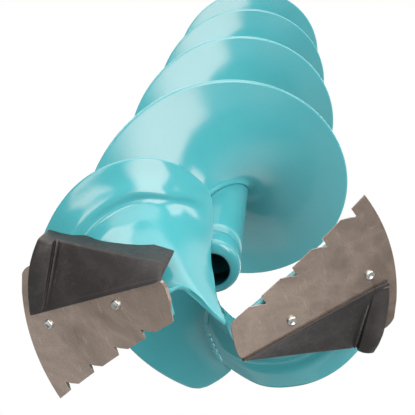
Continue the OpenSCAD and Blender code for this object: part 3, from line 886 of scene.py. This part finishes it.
def shaft():
    lo, hi, r = SHAFT_LO, SHAFT_HI, SHAFT_R
    bore = r - TUBE_WALL
    outer = [(r, lo + (hi - lo) * k / 40) for k in range(40)] + [(r, hi - 0.4), (r - 0.4, hi)]
    inner = [(bore + 0.3, hi), (bore, hi - 0.3)]
    inner += [(bore, hi - (hi - lo) * k / 8) for k in range(1, 9)]
    part("shaft", lathe(outer + inner), "auger", PAINT, "shaft_tube")


def end_ring():
    lo, bore = RING_LO, RING_BORE
    profile = arc(bore + BORE_ROUND, lo + BORE_ROUND, BORE_ROUND, 180, 270, 10)
    profile += arc(RING_R - FOOT_ROUND, lo + FOOT_ROUND, FOOT_ROUND, 270, 360, 12)
    profile.append((RING_R, lo + 4))
    # the weld up the shaft and the spigot inside it: radius from the shaft's, height
    profile += [(SHAFT_R + dr, RING_TOP + h) for dr, h in (
        (0.42, -3), (0.34, 0), (0.16, 2.6), (-0.06, 5), (-0.8, 4.4), (-0.8, -0.1),
        (-1.62, -0.1), (-1.62, 7.9))]
    profile += [(bore + 2.4, RING_TOP + 7.9), (bore + 2.3, lo + 4.2), (bore + 0.6, lo + 3.2),
                (bore, lo + 2.6)]
    verts, faces = lathe(profile)
    moved = []
    for x, y, z in verts:  # the drain hole sits off the tube's axis
        w = smooth((11.2 - math.hypot(x, y)) / 2) * smooth((lo + 6 - z) / 3)
        moved.append((x + 0.65 * w, y - 1.45 * w, z))
    part("end_ring", (moved, faces), "auger", PAINT, "shaft_end_ring")


shaft()
end_ring()

# ------------------------------------------------------------------ crank: one bent tube

PIN_Z = 800.0
CRANK_R, BEND_R, THROW = 11.0, 40.0, 150.0
CRANK_LO = PIN_Z + 38
BEND_LO = CRANK_LO + 20  # start of the first bend
STRAIGHT_LO = BEND_LO + 2 * BEND_R  # the upright run that carries the grip
STRAIGHT_HI = STRAIGHT_LO + 130
BEND_HI = STRAIGHT_HI + 2 * BEND_R  # end of the last bend
CRANK_TOP = BEND_HI + 14


def crank_path():
    """The tube's centre line as y, z."""
    return [(0, CRANK_LO), (0, CRANK_LO + 5), (0, CRANK_LO + 12),
            *arc(BEND_R, BEND_LO, BEND_R, 180, 90, 16),
            *arc(THROW - BEND_R, STRAIGHT_LO, BEND_R, -90, 0, 16),
            *arc(THROW - BEND_R, STRAIGHT_HI, BEND_R, 0, 90, 16),
            *arc(BEND_R, BEND_HI, BEND_R, 270, 180, 16),
            (0, CRANK_TOP - 8), (0, CRANK_TOP)]


def bent_tube(path, r, wall, seg=64):
    """A tube along a path in the plane x = 0."""
    n = len(path)
    angles = [2 * math.pi * q / seg for q in range(seg)]
    loops = []
    for radius, order in ((r, range(n)), (r - wall, range(n - 1, -1, -1))):
        for k in order:
            ty, tz = unit(np.array(path[min(k + 1, n - 1)]) - np.array(path[max(k - 1, 0)]))
            across = np.array([0, tz, -ty])
            centre = np.array([0, *path[k]])
            loops.append([centre + radius * (math.cos(a) * across
                                             + math.sin(a) * np.array([1.0, 0, 0]))
                          for a in angles])
    return loft(loops, endless=True)


part("crank_bar", bent_tube(crank_path(), CRANK_R, TUBE_WALL), "crank", PAINT, "crank_tube")

# ------------------------------------------------------------------ grip, bushes and collars

GRIP_LO, GRIP_L, GRIP_R = STRAIGHT_LO + 7, 116.0, 17.0
GRIP_BORE = CRANK_R + 2.02
BUSH_L, COLLAR_L = 16, 6


def mould_lines(r, h, a):
    """A pair of flat mould lines down the sides."""
    on_line = abs((a / math.pi) % 1 - 0.5) > 0.492 and r > GRIP_R - 4
    return r + (0.15 if on_line else 0.0), h


def grip():
    """A barrel with six swells and thirteen finger grooves."""
    n = 150
    barrel = []
    for k in range(n + 1):
        t = k / n
        r = GRIP_R - 2.6 * (2 * t - 1) ** 4 + 0.33 * math.cos(2 * math.pi * 6 * t)
        if 0.06 < t < 0.94:
            r -= 0.7 * math.exp(-(((t * 13) % 1 - 0.5) / 0.12) ** 2)
        barrel.append((r, 1.2 + (GRIP_L - 2.4) * t))
    foot = [(GRIP_BORE, 0.3), (GRIP_BORE + 0.3, 0), (GRIP_R - 3.9, 0), (GRIP_R - 3.1, 0.5)]
    head = [(r, GRIP_L - h) for r, h in reversed(foot)]
    shape = lathe(raised(GRIP_LO, foot + barrel + head), 144, THROW, mould_lines)
    part("grip_sleeve", shape, "grip", GRIP, "crank_grip")


def ring(name, body, finish, r0, r1, z0, length, round_r):
    """A ring round the upright run, rounded outside and lightly cut inside."""
    z1 = z0 + length
    cut = round_r * 0.5
    profile = [(r0, z0 + cut), (r0 + cut, z0)]
    profile += [(r1 - round_r, z0)] + arc(r1 - round_r, z0 + round_r, round_r, -90, 0, 4)[1:]
    profile += arc(r1 - round_r, z1 - round_r, round_r, 0, 90, 4)
    profile += [(r0 + cut, z1), (r0, z1 - cut)]
    return part(name, lathe(profile, centre_y=THROW), body, finish)


grip()
bushes = [ring("bush_%d" % k, "grip", BUSH, CRANK_R + 0.06, CRANK_R + 2.0, z, BUSH_L, 0.3)
          for k, z in enumerate((GRIP_LO, GRIP_LO + GRIP_L - BUSH_L))]
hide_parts("grip_bushes")
collars = [ring("collar_%d" % k, "crank", ZINC, CRANK_R, CRANK_R + 3.5, z, COLLAR_L, 0.8)
           for k, z in enumerate((GRIP_LO - COLLAR_L - 0.3, GRIP_LO + GRIP_L + 0.3))]
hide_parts("grip_collars")

# ------------------------------------------------------------------ top knob
# Profiles are radius, height; the heights count from the base named where each is used.

KNOB_LO = CRANK_TOP + 8
KNOB_R = 31.0
BOLT_Z = CRANK_TOP + 39.7  # underside of the bolt's head
KNOB = [(6.06, 0.3), (6.4, 0), (12.6, 0), (13.6, 0.3), (14.2, 0.9), (14.6, 2), (14.9, 4),
        (15.3, 6), (15.9, 8), (16.9, 10), (18.4, 12), (20.6, 13.6),
        *[(KNOB_R - 14 + 14 * math.cos(a * RAD), 25 + 13.5 * math.sin(a * RAD))
          for a in range(-50, 87, 4)],
        (12.6, 38.6), (11.6, 38.9), (11.1, 38.6), (11, 38), (11, 29.9), (6.06, 29.9)]
LID = [(0, 36.6), (9, 36.6), (9, 36.0), (10.9, 36.0), (10.98, 36.3), (10.98, 38.4),
       (10.6, 38.85), (9.4, 39.0), (7.6, 38.8), (7.2, 38.6), (0, 38.6)]
SPINDLE = [(CRANK_R - 1.62, -13), (CRANK_R - 1.62, 0), (CRANK_R + 0.7, 0), (CRANK_R + 1, 0.3),
           (CRANK_R + 1, 3.7), (CRANK_R + 0.7, 4), (8.5, 4), (8.5, 7.6), (8.3, 7.8), (6, 7.8),
           (6, 37.6), (5.6, 38), (3.3, 38), (3.05, 37.7), (3.05, 22), (0.4, 21.5),
           (0.4, -12.5), (8, -13)]
DISC = [(3.2, 38.1), (3.2, 39.5), (9.2, 39.5), (9.5, 39.2), (9.5, 38.3), (9.2, 38.1)]
BOLT = [(0, -15), (2.4, -15), (3, -14.5), *[(3, -14.5 + 0.25 * s) for s in range(1, 57)],
        (3, -0.1), (3, 0), (4.9, 0), (5.2, 0.3), (5.2, 3.1), (4.7, 3.6), (2.9, 3.6),
        (2.6, 3.3), (2.6, 1.6), (0, 1.5)]


def finger_flutes(r, h, a):
    """Shallow finger flutes round the widest part."""
    return r - 0.8 * smooth((r - 22) / 8) * (0.5 - 0.5 * math.cos(8 * a)) ** 2, h


def bolt_thread(r, h, a):
    if not (BOLT_Z - 14.6 < h < BOLT_Z - 0.6) or r < 2:
        return r, h
    return r - 0.25 * triangle_wave(h - BOLT_Z + a / (2 * math.pi)), h


part("knob_ball", lathe(raised(KNOB_LO, KNOB), 192, wobble=finger_flutes),
     "knob", GRIP, "top_knob")
part("knob_lid", lathe_solid(raised(KNOB_LO, LID)), "knob", GRIP, "knob_cap")
part("spindle", lathe(raised(CRANK_TOP, SPINDLE), 96), "crank", ZINC, "knob_spindle")
part("knob_disc", lathe(raised(CRANK_TOP, DISC), 96), "crank", ZINC, "knob_washer")
part("knob_bolt", lathe_solid(raised(BOLT_Z, BOLT), 72, bolt_thread),
     "crank", ZINC, "knob_screw")

# ------------------------------------------------------------------ fold joint

# name, CAD node, body, finish, bevel width
JOINT = [("yoke", "fold_yoke", "auger", PAINT, 0.7),
         ("lug", "crank_lug", "crank", PAINT, 0.6),
         ("hinge_bolt", "fold_bolt", "auger", ZINC, 0.35),
         ("disc_washer", "clamp_washer", "clamp_washer", ZINC, 0.2),
         ("wing_nut_body", "wing_nut", "wing_nut", ZINC, 0.5)]


def from_node(name, node, body, finish, width):
    """A rounded-edge piece on the outline of a CAD node."""
    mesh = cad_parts[node].data.copy()
    mesh.name = name
    obj = add_object(name, mesh)
    if mesh.has_custom_normals:
        with bpy.context.temp_override(object=obj, active_object=obj, selected_objects=[obj]):
            bpy.ops.mesh.customdata_custom_splitnormals_clear()
    weld = obj.modifiers.new("Weld", "WELD")
    weld.merge_threshold = 1e-6
    flatten = obj.modifiers.new("Flat", "DECIMATE")
    flatten.decimate_type = "DISSOLVE"
    flatten.angle_limit = 0.5 * RAD
    bevel(obj, width, segments=3, angle=30)
    dress(obj, body, finish, node)


for piece in JOINT:
    from_node(*piece)

# ------------------------------------------------------------------ camera, below the head

CAMERA_AT = Vector((-93.3258, 131.5823, -350.0417))
right = Vector((-0.89865, -0.43298, 0.07046)).normalized()
forward = right.cross(Vector((0.39412, -0.86742, -0.30374)).normalized()).normalized()
up = -forward.cross(right).normalized()

cam_data = bpy.data.cameras.new("camera")
cam = add_object("camera", cam_data)
rotation = Matrix((right, up, -forward)).transposed()
cam.matrix_world = Matrix.Translation(CAMERA_AT * MM) @ rotation.to_4x4()
cam_data.lens = 85.982747
cam_data.sensor_width = 36
cam_data.clip_start = 0.01
cam_data.clip_end = 20
bpy.context.scene.camera = cam

# ------------------------------------------------------------------ studio world
# Light is laid out by direction in the camera's axes: azimuth 0 is behind the camera,
# growing to its right; elevation is up in the view. The camera itself sees plain white.

# azimuth span, elevation span, softness of low-azimuth, high-azimuth and level edges, strength
PANELS = [
    ((14, 47), (-18, 40), (18, 5, 5), 7.0),  # the main softbox, to the camera's right
    ((-66, -3), (33, 50), (8, 8, 6), 5.5),  # a long upper strip, reaching over to the left
    ((60, 83), (9, 38), (4, 4, 5), 5.5),  # a second softbox further round
    ((-38, -12), (-6, 12), (8, 8, 8), 5.0),  # a small panel, left of the camera
]
ROOM_PATCHES = [
    ((80, 170), (-60, 5), (30, 30, 24), 0.8),
    ((-100, 58), (-95, -33), (12, 12, 9), 0.35),
    ((25, 49), (-44, -20), (4, 4, 8), 0.6),
    ((-115, -68), (-60, -15), (4, 4, 10), 0.6),
]
ROOM_LEVEL = 0.12

world = bpy.data.worlds.new("studio")
bpy.context.scene.world = world
world.use_nodes = True
world.node_tree.nodes.clear()
sky = Graph(world.node_tree)
direction = sky.node("TexCoord").outputs["Generated"]


def along(axis):
    return sky.node("VectorMath", {0: direction, 1: tuple(axis)},
                    operation="DOT_PRODUCT").outputs["Value"]


def degrees(angle):
    return sky.math("MULTIPLY", angle, 180 / math.pi)


def step(value, lo, hi, to=(0.0, 1.0)):
    return sky.span(value, (lo, hi), to, kind="SMOOTHSTEP")


def band(angle, span, soft_lo, soft_hi):
    lo, hi = span
    return sky.math("MULTIPLY", step(angle, lo - soft_lo / 2, lo + soft_lo / 2),
                    step(angle, hi - soft_hi / 2, hi + soft_hi / 2, to=(1.0, 0.0)))


def window(azimuth_span, elevation_span, soft):
    return sky.math("MULTIPLY", band(azimuth, azimuth_span, soft[0], soft[1]),
                    band(elevation, elevation_span, soft[2], soft[2]))


def brighten(level, mask, amount):
    glow = sky.math("MULTIPLY", mask, amount)
    return glow if level is None else sky.math("ADD", level, glow)


def background(strength, colour=(1, 1, 1, 1)):
    return sky.node("Background", {"Color": colour, "Strength": strength}).outputs[0]


behind = along(-forward)
azimuth = degrees(sky.math("ARCTAN2", along(right), behind))
elevation = degrees(sky.math("ARCSINE", along(up)))

panels = None
for *shape, strength in PANELS:
    panels = brighten(panels, window(*shape), strength)
panels = brighten(panels, step(elevation, 46, 56), 2.2)  # the ceiling panel

# the dim room and the white backdrop ahead of the camera
backdrop = sky.math("MULTIPLY", step(sky.math("MULTIPLY", behind, -1.0), 0.2, 0.6),
                    step(elevation, -20, 10))
room = brighten(ROOM_LEVEL, backdrop, 1.0)
for *shape, strength in ROOM_PATCHES:
    room = brighten(room, window(*shape), strength)
room = brighten(room, step(elevation, -50, -70), 0.3)

warm_panels = background(panels, (1.0, 0.95, 0.92, 1))
lit = sky.node("AddShader", {0: background(room), 1: warm_panels}).outputs[0]
seen = sky.node("LightPath").outputs["Is Camera Ray"]
mixed = sky.node("MixShader", {0: seen, 1: lit, 2: background(1.0)}).outputs[0]
sky.node("OutputWorld", {"Surface": mixed})

# ------------------------------------------------------------------ overhead light and floor


def overhead():
    toward = Vector((0.2, -0.3, 1.0)).normalized()
    light = bpy.data.lights.new("overhead", "AREA")
    light.shape = "RECTANGLE"
    light.size = light.size_y = 1.6
    light.energy = 26
    light.color = (1, 1, 1)
    obj = add_object("overhead", light)
    obj.location = Vector((0, 0, 0.12)) + toward * 2.4
    obj.rotation_mode = "QUATERNION"
    obj.rotation_quaternion = toward.to_track_quat("Z", "Y")


def floor_material():
    """Pale and matt from above, clear from below."""
    material = bpy.data.materials.new("pale_floor")
    material.use_nodes = True
    graph = Graph(material.node_tree)
    bsdf = graph.tree.nodes["Principled BSDF"]
    bsdf.inputs["Base Color"].default_value = (0.86, 0.86, 0.85, 1)
    bsdf.inputs["Roughness"].default_value = 0.6
    mixed = graph.node("MixShader", {
        0: graph.node("NewGeometry").outputs["Backfacing"],
        1: bsdf.outputs[0],
        2: graph.node("BsdfTransparent").outputs[0]}).outputs[0]
    graph.feed(graph.tree.nodes["Material Output"].inputs["Surface"], mixed)
    return material


overhead()
floor_z = float(size_before[0].z) - 0.0005
bpy.ops.mesh.primitive_plane_add(size=6, location=(0, 0, floor_z))
floor = bpy.context.object
floor.name = "floor"
floor.data.materials.append(floor_material())
floor.visible_shadow = False
floor.visible_diffuse = False
floor.visible_glossy = False

bpy.context.scene.view_settings.view_transform = "Standard"
bpy.context.scene.view_settings.look = "None"
